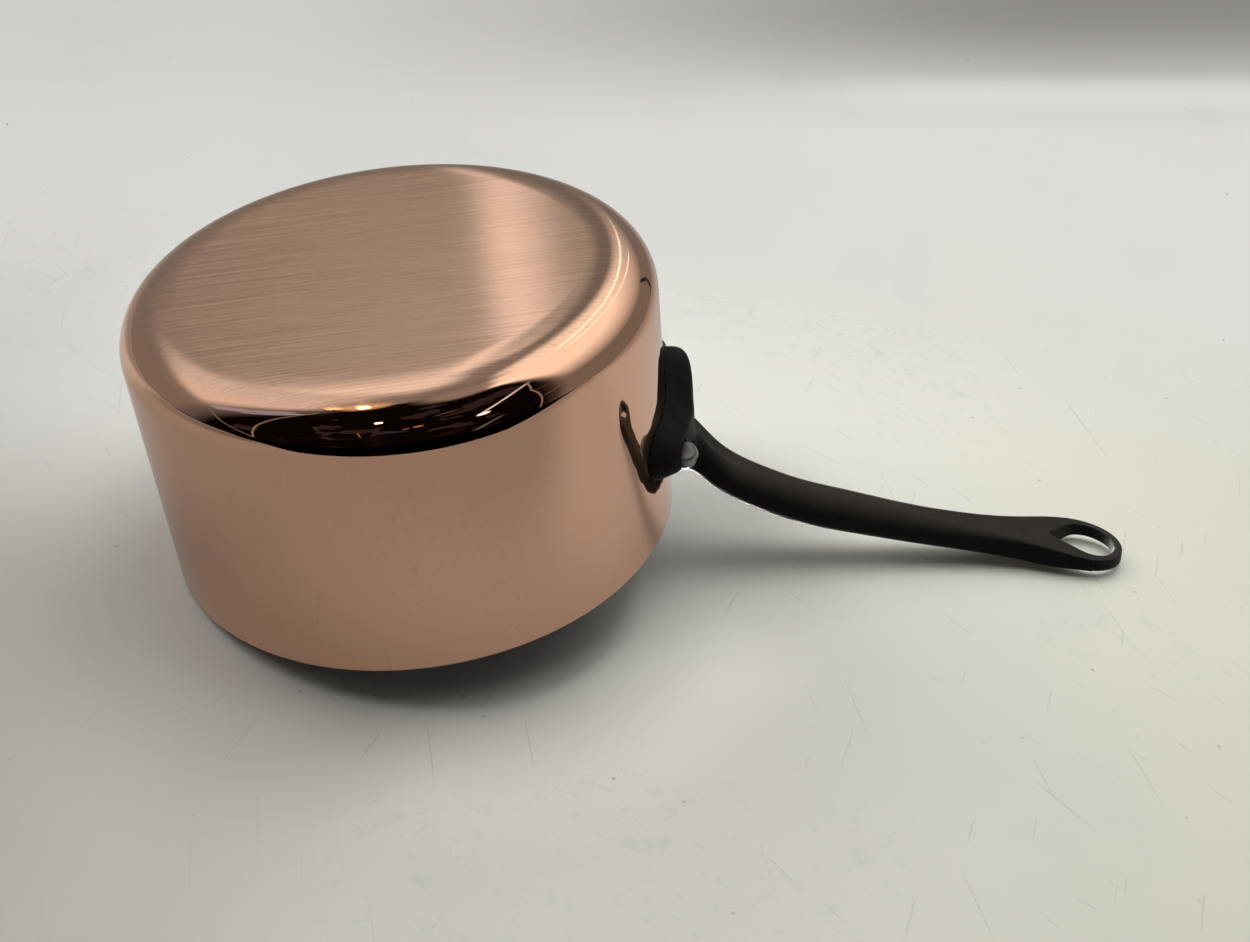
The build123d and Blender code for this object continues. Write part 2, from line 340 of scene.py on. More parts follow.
def table_material(name, shade):
    """shade: how bright the sheet's colour is; the sheet the pan mirrors gets a darker copy, painted shade, and a
    painted glow
    """
    mat, t, out = material(name)
    geo = t.n("ShaderNodeNewGeometry")
    pos = geo.outputs["Position"]
    big = t.noise(pos, 3.2, 3.0, 0.5)
    cloud = t.noise(pos, 14.0, 4.0, 0.6)
    c = t.mix(t.ramp(big, 0.3, 0.7), tuple(shade * v for v in (0.93, 0.94, 0.92)), tuple(shade * v for v in (1.0, 1.0, 0.975)))
    c = t.mix(t.math("MULTIPLY", t.ramp(cloud, 0.5, 0.8), 0.35), c, tuple(shade * v for v in (0.86, 0.865, 0.87)))
    right = t.math("SUBTRACT", t.vmath("DOT_PRODUCT", pos, tuple(S)), P0.dot(S))
    back = t.math("SUBTRACT", t.vmath("DOT_PRODUCT", pos, tuple(H)), P0.dot(H))
    if shade < 0.5:
        # painted shade: the mirrored sheet darker the farther it lies from the pan
        away = t.vmath("DISTANCE", pos, (0.05, 0.0, 0.12))
        c = t.mix(t.ramp(away, 0.35, 1.2), c, (0.10, 0.10, 0.098))
        # painted light: the sheet glows, brightest just behind the pan, then dimmer the farther it lies
        near = t.math("MULTIPLY", t.ramp(back, 0.03, 0.13), t.ramp(back, 0.34, 0.19))
        front = t.mix(t.ramp(away, 0.14, 0.26), (0.110, 0.107, 0.099), (0.048, 0.046, 0.043))
        glow = t.mix(t.ramp(back, 0.13, -0.06), (0.105, 0.105, 0.10), front)
        glow = t.mix(t.math("MULTIPLY", t.ramp(right, 0.20, 0.32), t.ramp(back, -0.15, -0.04)), glow, (0.20, 0.197, 0.188))
        glow = t.mix(t.math("MULTIPLY", t.ramp(right, 0.05, -0.05), t.ramp(back, 0.03, -0.03)), glow, (0.05, 0.048, 0.046))
        glow = t.mix(t.ramp(back, 0.25, 1.3), glow, (0.17, 0.168, 0.16))
        glow = t.mix(t.ramp(t.math("ABSOLUTE", right), 0.45, 1.4), glow, (0.19, 0.187, 0.18))
        glow = t.mix(near, glow, (0.27, 0.268, 0.26))
    else:
        # a little warmer to the right; painted shade in front, to the left and far back
        c = t.mix(t.math("MULTIPLY", t.ramp(right, 0.03, -0.13), t.ramp(back, 0.50, 0.12)), c, (0.76, 0.755, 0.74), "MULTIPLY")
        # painted shadow: darker under the handle's root
        c = t.mix(t.ramp(t.vmath("DISTANCE", pos, (0.122, -0.022, 0.155)), 0.085, 0.01), c, (0.62, 0.62, 0.62), "MULTIPLY")
        c = t.mix(t.ramp(right, -0.1, 0.5), c, (0.98, 0.975, 0.885), "MULTIPLY")
        c = t.mix(t.math("MULTIPLY", t.ramp(back, 0.12, -0.25), t.ramp(right, 0.55, -0.05, 0.35, 1.0)), c, (0.66, 0.655, 0.63), "MULTIPLY")
        c = t.mix(t.math("MULTIPLY", t.ramp(right, 0.04, -0.06), t.ramp(back, 0.10, -0.04)), c, (0.84, 0.83, 0.81), "MULTIPLY")
        # painted light: a brighter ring just outside the rim in front on the right; painted shade close round the rim
        # and farther out to its left
        dist = t.vmath("DISTANCE", pos, (0.0, 0.0, 0.11))
        edge = t.math("MULTIPLY", t.math("MULTIPLY", t.ramp(dist, 0.090, 0.104), t.ramp(dist, 0.185, 0.135)), t.math("MULTIPLY", t.ramp(right, 0.085, 0.135), t.ramp(back, 0.01, -0.04)))
        c = t.mix(edge, c, (1.24, 1.24, 1.23), "MULTIPLY")
        c = t.mix(t.ramp(dist, 0.095, 0.088), c, (0.80, 0.79, 0.80), "MULTIPLY")
        c = t.mix(t.math("MULTIPLY", t.ramp(dist, 0.115, 0.15), t.math("MULTIPLY", t.ramp(right, 0.11, 0.04), t.ramp(back, 0.03, -0.05))), c, (0.90, 0.89, 0.88), "MULTIPLY")
        c = t.mix(t.math("MULTIPLY", t.ramp(back, 0.40, 0.90), t.ramp(right, -0.2, 0.75, 0.4, 1.0)), c, (0.42, 0.42, 0.42), "MULTIPLY")
    # specks
    v = t.voronoi(pos, 95.0)
    pick = t.ramp(t.noise(pos, 60.0, 2.0), 0.56, 0.62)
    speck = t.math("MULTIPLY", t.ramp(v.outputs["Distance"], 0.10, 0.05), pick)
    c = t.mix(t.math("MULTIPLY", speck, 0.55), c, tuple(shade * v for v in (0.36, 0.36, 0.345)))
    # small grey scuffs in loose groups
    group = t.math("MULTIPLY", t.ramp(t.noise(pos, 7.0, 2.0), 0.46, 0.62), t.ramp(t.noise(pos, 130.0, 4.0, 0.7), 0.55, 0.64))
    c = t.mix(t.math("MULTIPLY", group, 0.30), c, tuple(shade * v for v in (0.60, 0.63, 0.64)))
    # hairline scratches
    for rot, sc, lo in ((1.1, (22, 520, 22), 0.765), (-0.75, (20, 560, 20), 0.775), (2.1, (24, 480, 24), 0.77), (1.62, (13, 700, 13), 0.765)):
        s = t.noise(t.scaled(t.scaled(pos, (1, 1, 1), rot=(0, 0, rot)), sc), 1.0, 1.0, 0.4)
        c = t.mix(t.math("MULTIPLY", t.ramp(s, lo, lo + 0.02), 0.36), c, (shade * 0.51,) * 3)
    p = principled(t, out, Base_Color=c, Roughness=0.42)
    p.inputs["Specular IOR Level"].default_value = 0.3
    if shade < 0.5:
        t.link(glow, p.inputs["Emission Color"])
        p.inputs["Emission Strength"].default_value = 1.0
    t.link(t.bump(cloud, 0.15, 0.0006), p.inputs["Normal"])
    # seen only from the pan's side; the lit sheet thins out behind the pan, where the backdrop takes over
    clear = t.n("ShaderNodeBsdfTransparent")
    mixer = t.n("ShaderNodeMixShader")
    hidden = geo.outputs["Backfacing"]
    if shade > 0.5:
        hidden = t.math("MAXIMUM", hidden, t.ramp(back, 0.14, 0.36))
    t.link(hidden, mixer.inputs[0])
    t.link(p.outputs[0], mixer.inputs[1])
    t.link(clear.outputs[0], mixer.inputs[2])
    t.link(mixer.outputs[0], out.inputs["Surface"])
    return mat


# the sheet the camera sees, and a darker copy with painted shade and a painted glow that only the pan mirrors
tab = table_material("table_sheet", 0.70)
tab_far = table_material("table_sheet_shaded", 0.22)
EDGE = [(-2.2, 0.75), (-0.75, 0.56), (-0.25, 0.335), (0.2, 0.275), (0.5, 0.39), (1.2, 0.62), (2.6, 0.9), (2.6, -2.4), (-2.2, -2.4)]
pts = [on_table(x, y) for x, y in EDGE]
table_big = sheet_mesh("table_all", pts, [tuple(range(len(pts)))], tab_far)
pts = [on_table(x, y) for x, y in ((-0.40, 0.27), (0.42, 0.27), (0.62, -0.50), (-0.42, -0.50))]
table_seen = sheet_mesh("table_seen", pts, [(0, 1, 2, 3)], tab)
for ob in (table_big, table_seen):
    nrm = ob.data.polygons[0].normal
    if nrm.dot(N) < 0:
        ob.data.flip_normals()
table_big.visible_camera = False
table_big.visible_shadow = False
table_big.visible_diffuse = False
table_seen.visible_glossy = False
table_seen.visible_diffuse = False
table_seen.visible_shadow = False


# pale backdrop far behind the pan, carrying the table's tone on: it glows, brighter to the right, with painted shade
# towards the top and a painted fold highlight
def backdrop_material():
    mat, t, out = material("backdrop_pale")
    geo = t.n("ShaderNodeNewGeometry")
    pos = t.n("ShaderNodeTexCoord").outputs["Object"]
    sep = t.n("ShaderNodeSeparateXYZ")
    t.link(pos, sep.inputs[0])
    u, v = sep.outputs[0], sep.outputs[1]
    big = t.noise(pos, 1.3, 3.0, 0.5)
    cloud = t.noise(pos, 5.0, 4.0, 0.6)
    c = t.mix(t.ramp(u, -0.9, 0.5), (0.645, 0.645, 0.622), (0.735, 0.722, 0.672))
    c = t.mix(t.math("MULTIPLY", t.ramp(big, 0.35, 0.7), 0.5), c, (0.70, 0.70, 0.675))
    c = t.mix(t.math("MULTIPLY", t.ramp(cloud, 0.5, 0.8), 0.3), c, (0.58, 0.585, 0.575))
    # shade towards the top, a fold's soft highlight under it on the right
    c = t.mix(t.math("MULTIPLY", t.ramp(v, 0.52, 0.74), t.ramp(u, -0.7, 0.75, 0.12, 1.0)), c, (0.26, 0.257, 0.24))
    fold = t.math("MULTIPLY", t.ramp(v, 0.560, 0.595), t.ramp(v, 0.640, 0.600))
    c = t.mix(t.math("MULTIPLY", fold, t.ramp(u, 0.05, 0.6, 0.0, 0.55)), c, (0.80, 0.79, 0.76))
    # specks
    w = t.voronoi(pos, 33.0)
    speck = t.math("MULTIPLY", t.ramp(w.outputs["Distance"], 0.10, 0.05), t.ramp(t.noise(pos, 21.0, 2.0), 0.60, 0.66))
    c = t.mix(t.math("MULTIPLY", speck, 0.5), c, (0.25, 0.25, 0.24))
    glow = t.n("ShaderNodeEmission")
    t.link(c, glow.inputs[0])
    clear = t.n("ShaderNodeBsdfTransparent")
    mixer = t.n("ShaderNodeMixShader")
    t.link(geo.outputs["Backfacing"], mixer.inputs[0])
    t.link(glow.outputs[0], mixer.inputs[1])
    t.link(clear.outputs[0], mixer.inputs[2])
    t.link(mixer.outputs[0], out.inputs["Surface"])
    return mat


middle = CAM_LOC - 2.6 * CAM_BACK
pts = [(-1.3, -1.0, 0.0), (1.3, -1.0, 0.0), (1.3, 1.0, 0.0), (-1.3, 1.0, 0.0)]
backdrop = sheet_mesh("backdrop", pts, [(0, 1, 2, 3)], backdrop_material())
backdrop.matrix_world = Matrix.Translation(middle) @ Matrix((CAM_RIGHT, CAM_UP, CAM_BACK)).transposed().to_4x4()
backdrop.visible_glossy = False
backdrop.visible_diffuse = False
backdrop.visible_shadow = False


# the plain floor under the pan when it stands upright
def floor_material():
    mat, t, out = material("plain_floor")
    geo = t.n("ShaderNodeNewGeometry")
    p = principled(t, out, Roughness=0.6)
    big = t.noise(geo.outputs["Position"], 5.0, 3.0, 0.5)
    far = t.ramp(t.vmath("DISTANCE", geo.outputs["Position"], (0.0, 0.0, 0.0)), 0.45, 1.7)
    pale = t.mix(t.ramp(big, 0.3, 0.7), (0.66, 0.665, 0.66), (0.70, 0.70, 0.69))
    t.link(t.mix(far, pale, (0.0, 0.0, 0.0)), p.inputs["Base Color"])
    t.link(t.mix(far, (0.0, 0.0, 0.0), t.mix(t.ramp(big, 0.3, 0.7), (0.65, 0.655, 0.65), (0.67, 0.675, 0.67))), p.inputs["Emission Color"])
    p.inputs["Emission Strength"].default_value = 1.0
    p.inputs["Specular IOR Level"].default_value = 0.2
    clear = t.n("ShaderNodeBsdfTransparent")
    mixer = t.n("ShaderNodeMixShader")
    t.link(geo.outputs["Backfacing"], mixer.inputs[0])
    t.link(p.outputs[0], mixer.inputs[1])
    t.link(clear.outputs[0], mixer.inputs[2])
    t.link(mixer.outputs[0], out.inputs["Surface"])
    return mat


r = 3.0
floor = sheet_mesh("floor", [(-r, -r, -0.0006), (r, -r, -0.0006), (r, r, -0.0006), (-r, r, -0.0006)], [(0, 1, 2, 3)], floor_material())
floor.visible_glossy = False
floor.visible_diffuse = False
floor.visible_shadow = False


# what the upright wall mirrors of that floor; it starts above the corner, which mirrors the room
def mirrored_material():
    mat, t, out = material("plain_floor_mirrored")
    geo = t.n("ShaderNodeNewGeometry")
    pos = geo.outputs["Position"]
    # painted shade: the mirrored floor darker close round the pan; the sheet glows, painted light that only reflections
    # show
    near = t.ramp(t.vmath("DISTANCE", pos, (0.0, 0.0, 0.0145)), 0.10, 0.30)
    big = t.noise(pos, 5.0, 3.0, 0.5)
    c = t.mix(near, (0.22, 0.22, 0.215), (0.56, 0.565, 0.56))
    c = t.mix(t.math("MULTIPLY", t.ramp(big, 0.35, 0.65), 0.25), c, (0.66, 0.665, 0.66))
    glow = t.n("ShaderNodeEmission")
    t.link(c, glow.inputs[0])
    clear = t.n("ShaderNodeBsdfTransparent")
    mixer = t.n("ShaderNodeMixShader")
    t.link(glow.outputs[0], mixer.inputs[1])
    t.link(clear.outputs[0], mixer.inputs[2])
    t.link(mixer.outputs[0], out.inputs["Surface"])
    # thins out past the pan's middle
    sep = t.n("ShaderNodeSeparateXYZ")
    t.link(pos, sep.inputs[0])
    t.link(t.math("MAXIMUM", geo.outputs["Backfacing"], t.ramp(sep.outputs[1], 0.06, -0.34)), mixer.inputs[0])
    return mat


half = [(-4.0, -0.35), (4.0, -0.35), (4.0, 5.0), (-4.0, 5.0)]
mirrored = sheet_mesh("floor_mirrored", [(x, y, 0.0172) for x, y in half], [(0, 1, 2, 3)], mirrored_material())
mirrored.visible_camera = False
mirrored.visible_diffuse = False
mirrored.visible_shadow = False
mirrored.visible_transmission = False


# ---------------------------------------------------------------------------
# lamps
# ---------------------------------------------------------------------------
def area(name, loc, aim, size, power, colour=(1, 1, 1), glossy=False, size_y=None):
    data = bpy.data.lights.new(name, "AREA")
    data.energy = power
    data.color = colour
    data.size = size
    if size_y:
        data.shape = "RECTANGLE"
        data.size_y = size_y
    ob = bpy.data.objects.new(name, data)
    coll.objects.link(ob)
    ob.location = loc
    ob.rotation_mode = "QUATERNION"
    ob.rotation_quaternion = (Vector(aim) - Vector(loc)).to_track_quat("-Z", "Y")
    ob.visible_camera = False
    ob.visible_glossy = glossy
    return ob


mid = Vector((0.05, 0, 0.06))
key = area("key", mid + toward(2, 75) * 1.15, mid, 0.72, 6.9, (1.0, 0.995, 0.98))
fill = area("fill", mid + toward(60, 76) * 1.3, mid, 1.2, 3.0, (0.98, 1.0, 1.0))
soft = area("soft_left", mid + toward(-82, 42) * 1.3, mid, 0.9, 6.5, (1.0, 1.0, 0.99))

near_fill = area("near_fill", mid + toward(125, 74) * 1.3, mid, 0.8, 1.0, (1.0, 1.0, 0.99))

# lamps for the upright views: they light only what is listed, through the table
upright = area("upright_top", (0.02, -0.10, 0.95), (0.0, 0, 0.05), 1.3, 24.0, (1.0, 0.985, 0.96), glossy=True)
upright_side = area("upright_side", (0.02, -0.75, 0.85), (0.14, 0, 0.09), 0.7, 18.0, (1.0, 0.99, 0.97), glossy=True)
ground = area("upright_ground", (-0.4, -0.6, 1.4), (0.05, 0, 0), 1.1, 34.0, (1.0, 0.985, 0.965))


def only(lamp, name, objs):
    c = bpy.data.collections.new(name)
    for o in objs:
        c.objects.link(o)
    lamp.light_linking.receiver_collection = c


# ---------------------------------------------------------------------------
# materials of the pan
# ---------------------------------------------------------------------------
def copper_material():
    mat, t, out = material("copper_polished_and_brushed")
    geo = t.n("ShaderNodeTexCoord").outputs["Object"]
    sep = t.n("ShaderNodeSeparateXYZ")
    t.link(geo, sep.inputs[0])
    x, y, z = sep.outputs
    rad = t.math("SQRT", t.math("ADD", t.math("MULTIPLY", x, x), t.math("MULTIPLY", y, y)))
    # brushing runs along the handle's direction over the base and the start of the corner
    long_ = t.noise(t.scaled(geo, (9, 1700, 1000)), 1.0, 3.0, 0.60)
    fine = t.noise(t.scaled(geo, (40, 4200, 2500)), 1.0, 2.0, 0.5)
    brush = t.math("ADD", t.math("MULTIPLY", long_, 0.6), t.math("MULTIPLY", fine, 0.4))
    ragged = t.math("ADD", z, t.math("MULTIPLY", t.math("SUBTRACT", long_, 0.5), 0.0022))
    base = t.ramp(ragged, 0.0035, 0.0014)
    flat = t.ramp(z, 0.0016, 0.0004)
    # colour: pale copper, faintly mottled; paler and greyer where it is brushed
    tone = t.noise(geo, 16.0, 3.0, 0.5)
    cloud = t.noise(t.scaled(geo, (1, 1, 1), loc=(0.3, 0.1, 0.2)), 7.0, 2.0, 0.5)
    c = t.mix(t.ramp(tone, 0.35, 0.68), (0.915, 0.535, 0.365), (0.94, 0.56, 0.385))
    pale = t.mix(t.ramp(cloud, 0.38, 0.62), (0.905, 0.58, 0.42), (0.94, 0.60, 0.41))
    c = t.mix(base, c, pale)
    c = t.mix(t.math("MULTIPLY", t.math("MULTIPLY", t.ramp(brush, 0.58, 0.38), base), 0.20), c, (0.60, 0.36, 0.26))
    streak = t.noise(t.scaled(geo, (8, 1500, 900), loc=(0.1, 0.4, 0.9)), 1.0, 3.0, 0.65)
    shade = t.mix(t.ramp(streak, 0.36, 0.60), (0.855, 0.84, 0.83), (0.97, 0.97, 0.97))
    c = t.mix(t.math("MULTIPLY", base, t.ramp(rad, 0.03, 0.08, 0.55, 1.0)), c, t.mix(1.0, c, shade, "MULTIPLY"))
    # longer single strokes
    dash = t.noise(t.scaled(geo, (26, 1100, 600), loc=(0.7, 0.2, 0.1)), 1.0, 1.0, 0.4)
    c = t.mix(t.math("MULTIPLY", t.math("MULTIPLY", t.ramp(dash, 0.70, 0.78), base), 0.35), c, (1.0, 0.72, 0.56))
    rough_base = t.math("MULTIPLY", t.ramp(brush, 0.34, 0.66, 0.12, 0.24, smooth=False), t.ramp(rad, 0.076, 0.086, 1.0, 0.62))
    haze = t.noise(geo, 40.0, 4.0, 0.6)
    rough_wall = t.ramp(haze, 0.35, 0.75, 0.014, 0.032)
    mixed = t.n("ShaderNodeMix", data_type="FLOAT")
    t.link(base, mixed.inputs[0])
    t.link(rough_wall, mixed.inputs[2])
    t.link(rough_base, mixed.inputs[3])
    rough = mixed.outputs[0]
    p = principled(t, out, Base_Color=c, Metallic=1.0, Roughness=rough)
    p.inputs["Anisotropic"].default_value = 1.0
    tan = t.n("ShaderNodeTangent", direction_type="RADIAL", axis="X")
    t.link(tan.outputs[0], p.inputs["Tangent"])
    # relief: brushing on the base, and the slow waves left by spinning on the wall
    round_ = t.n("ShaderNodeCombineXYZ")
    inv = t.math("DIVIDE", 1.0, t.math("MAXIMUM", rad, 0.02))
    t.link(t.math("MULTIPLY", x, inv), round_.inputs[0])
    t.link(t.math("MULTIPLY", y, inv), round_.inputs[1])
    t.link(t.math("MULTIPLY", z, 2.0), round_.inputs[2])
    waves = t.noise(round_.outputs[0], 7.0, 2.0, 0.5)
    wall = t.ramp(z, 0.012, 0.030)
    b1 = t.bump(t.math("MULTIPLY", waves, wall), 0.16, 0.0012)
    b1 = t.bump(t.math("MULTIPLY", brush, base), 0.42, 0.00004, b1)
    t.link(b1, p.inputs["Normal"])
    return mat


def lining_material():
    mat, t, out = material("lining_brushed_steel")
    geo = t.n("ShaderNodeTexCoord").outputs["Object"]
    sep = t.n("ShaderNodeSeparateXYZ")
    t.link(geo, sep.inputs[0])
    x, y, z = sep.outputs
    rad = t.math("SQRT", t.math("ADD", t.math("MULTIPLY", x, x), t.math("MULTIPLY", y, y)))
    # lines round the axis: they follow height on the wall and radius on the bottom
    lines = t.n("ShaderNodeCombineXYZ")
    t.link(t.math("MULTIPLY", rad, 1400.0), lines.inputs[0])
    t.link(t.math("MULTIPLY", z, 1400.0), lines.inputs[1])
    t.link(t.math("MULTIPLY", t.math("ARCTAN2", y, x), 2.5), lines.inputs[2])
    brush = t.noise(lines.outputs[0], 1.0, 3.0, 0.6)
    tone = t.noise(geo, 22.0, 3.0, 0.5)
    c = t.mix(t.ramp(tone, 0.3, 0.7), (0.60, 0.59, 0.57), (0.66, 0.65, 0.63))
    c = t.mix(t.math("MULTIPLY", t.ramp(brush, 0.62, 0.4), 0.35), c, (0.46, 0.455, 0.44))
    p = principled(t, out, Base_Color=c, Metallic=1.0, Roughness=t.ramp(brush, 0.3, 0.7, 0.26, 0.40, smooth=False))
    p.inputs["Anisotropic"].default_value = 0.5
    tan = t.n("ShaderNodeTangent", direction_type="RADIAL", axis="Z")
    t.link(tan.outputs[0], p.inputs["Tangent"])
    t.link(t.bump(brush, 0.25, 0.00008), p.inputs["Normal"])
    return mat


def iron_material():
    mat, t, out = material("cast_iron_dark")
    geo = t.n("ShaderNodeTexCoord").outputs["Object"]
    grain = t.noise(geo, 1500.0, 3.0, 0.55)
    pits = t.voronoi(geo, 900.0)
    lump = t.noise(geo, 120.0, 3.0, 0.5)
    tone = t.noise(geo, 28.0, 4.0, 0.6)
    c = t.mix(t.ramp(tone, 0.35, 0.7), (0.0235, 0.0200, 0.0165), (0.0340, 0.0288, 0.0236))
    c = t.mix(t.math("MULTIPLY", t.ramp(grain, 0.55, 0.75), 0.5), c, (0.034, 0.030, 0.026))
    # edges painted a little brighter: a painted highlight along the edges, partly rubbed wear
    sep = t.n("ShaderNodeSeparateXYZ")
    t.link(geo, sep.inputs[0])
    rad = t.math("SQRT", t.math("ADD", t.math("MULTIPLY", sep.outputs[0], sep.outputs[0]), t.math("MULTIPLY", sep.outputs[1], sep.outputs[1])))
    edge_highlight_and_wear = t.math("MULTIPLY", t.ramp(t.n("ShaderNodeNewGeometry").outputs["Pointiness"], 0.515, 0.56), t.ramp(rad, 0.1035, 0.1065))
    c = t.mix(t.math("MULTIPLY", edge_highlight_and_wear, 0.7), c, (0.075, 0.072, 0.068))
    # painted shade: darker near the pan, where the flange meets the wall
    c = t.mix(t.ramp(rad, 0.130, 0.111), c, (0.32, 0.32, 0.32), "MULTIPLY")
    p = principled(t, out, Base_Color=c, Metallic=0.0, Roughness=t.ramp(lump, 0.3, 0.7, 0.46, 0.60))
    p.inputs["Specular IOR Level"].default_value = 0.08
    b = t.bump(grain, 0.30, 0.00010)
    b = t.bump(pits.outputs["Distance"], 0.12, 0.00010, b)
    b = t.bump(lump, 0.22, 0.0004, b)
    t.link(b, p.inputs["Normal"])
    return mat


def rivet_material():
    mat, t, out = material("rivet_steel_dull")
    geo = t.n("ShaderNodeTexCoord").outputs["Object"]
    grain = t.noise(geo, 900.0, 3.0, 0.55)
    tone = t.noise(geo, 160.0, 3.0, 0.6)
    c = t.mix(t.ramp(tone, 0.35, 0.7), (0.24, 0.245, 0.22), (0.34, 0.345, 0.315))
    c = t.mix(t.math("MULTIPLY", t.ramp(grain, 0.6, 0.75), 0.5), c, (0.10, 0.10, 0.09))
    # painted shade: the head darker towards its seat, so the dome reads as shaded
    sep = t.n("ShaderNodeSeparateXYZ")
    t.link(geo, sep.inputs[0])
    reach = t.math("ADD", t.math("MULTIPLY", sep.outputs[0], math.cos(EAR_ANGLE)), t.math("MULTIPLY", t.math("ABSOLUTE", sep.outputs[1]), math.sin(EAR_ANGLE)))
    c = t.mix(t.ramp(reach, 0.1113, 0.1086), c, (0.22, 0.22, 0.21), "MULTIPLY")
    p = principled(t, out, Base_Color=c, Metallic=1.0, Roughness=t.ramp(tone, 0.3, 0.7, 0.24, 0.34))
    t.link(t.bump(grain, 0.22, 0.00008), p.inputs["Normal"])
    return mat


# ---------------------------------------------------------------------------
# handle casting: one smooth mesh from a distance field, worked in millimetres
# ---------------------------------------------------------------------------
SHAFT = np.array([  # x, height of the centre line, half thickness, half width, corner radius as a part of the smaller half
    (98.0, 88.0, 9.0, 12.6, .60), (106.0, 94.6, 7.6, 12.3, .75), (113.5, 102.8, 6.1, 11.5, .88), (120.5, 111.4, 6.3, 10.7, .90),
    (128.5, 118.6, 7.1, 9.9, .92), (138.5, 125.7, 8.0, 9.2, .94), (151.0, 133.4, 8.6, 8.9, .94), (165.0, 140.2, 8.9, 8.7, .94),
    (180.0, 146.5, 8.5, 8.5, .92), (195.0, 152.7, 7.6, 8.4, .88), (210.0, 158.5, 6.7, 8.4, .80), (225.0, 163.8, 6.0, 8.5, .66),
    (240.0, 168.9, 5.6, 8.9, .46), (250.0, 172.1, 5.3, 9.9, .32), (260.0, 175.3, 5.0, 11.8, .24), (270.0, 178.2, 4.2, 14.0, .20),
    (280.0, 181.1, 3.4, 15.4, .20), (292.0, 184.5, 3.1, 16.4, .20), (306.0, 188.1, 3.0, 16.4, .20)])
EAR = np.array([(95.5, 71.1, 24.4, 17.6), (102.5, 72.7, 19.4, 13.4), (108.6, 74.9, 12.0, 7.0)])  # distance, height, full height, reach
EAR_IN = 32.0
EAR_ANGLE, EAR_Z, EAR_SEAT = math.radians(21.0), 75.6, 108.2     # rivets: angle about the pan axis, height, seat
TIP_X, END_X, END_HALF = 299.4, 281.0, 15.3


def smin(a, b, k):
    h = np.maximum(k - np.abs(a - b), 0) / k
    return np.minimum(a, b) - h * h * k / 4


def smax(a, b, k):
    return -smin(-a, -b, k)


def rrect(u, v, hu, hv, r):
    """distance to a rounded rectangle with half sizes hu, hv and corner radius r"""
    qu, qv = np.abs(u) - hu + r, np.abs(v) - hv + r
    return np.hypot(np.maximum(qu, 0), np.maximum(qv, 0)) + np.minimum(np.maximum(qu, qv), 0) - r


def spline(t, y, at):
    """natural cubic spline through (t, y), y with columns"""
    n = len(t)
    h = np.diff(t)
    A = np.zeros((n, n))
    B = np.zeros_like(y)
    A[0, 0] = A[-1, -1] = 1
    for i in range(1, n - 1):
        A[i, i - 1], A[i, i], A[i, i + 1] = h[i - 1], 2 * (h[i - 1] + h[i]), h[i]
        B[i] = 6 * ((y[i + 1] - y[i]) / h[i] - (y[i] - y[i - 1]) / h[i - 1])
    M = np.linalg.solve(A, B)
    i = np.clip(np.searchsorted(t, at) - 1, 0, n - 2)
    a, b, hh = (t[i + 1] - at)[:, None], (at - t[i])[:, None], h[i][:, None]
    return (M[i] * a ** 3 + M[i + 1] * b ** 3) / (6 * hh) + (y[i] / hh - M[i] * hh / 6) * a + (y[i + 1] / hh - M[i + 1] * hh / 6) * b


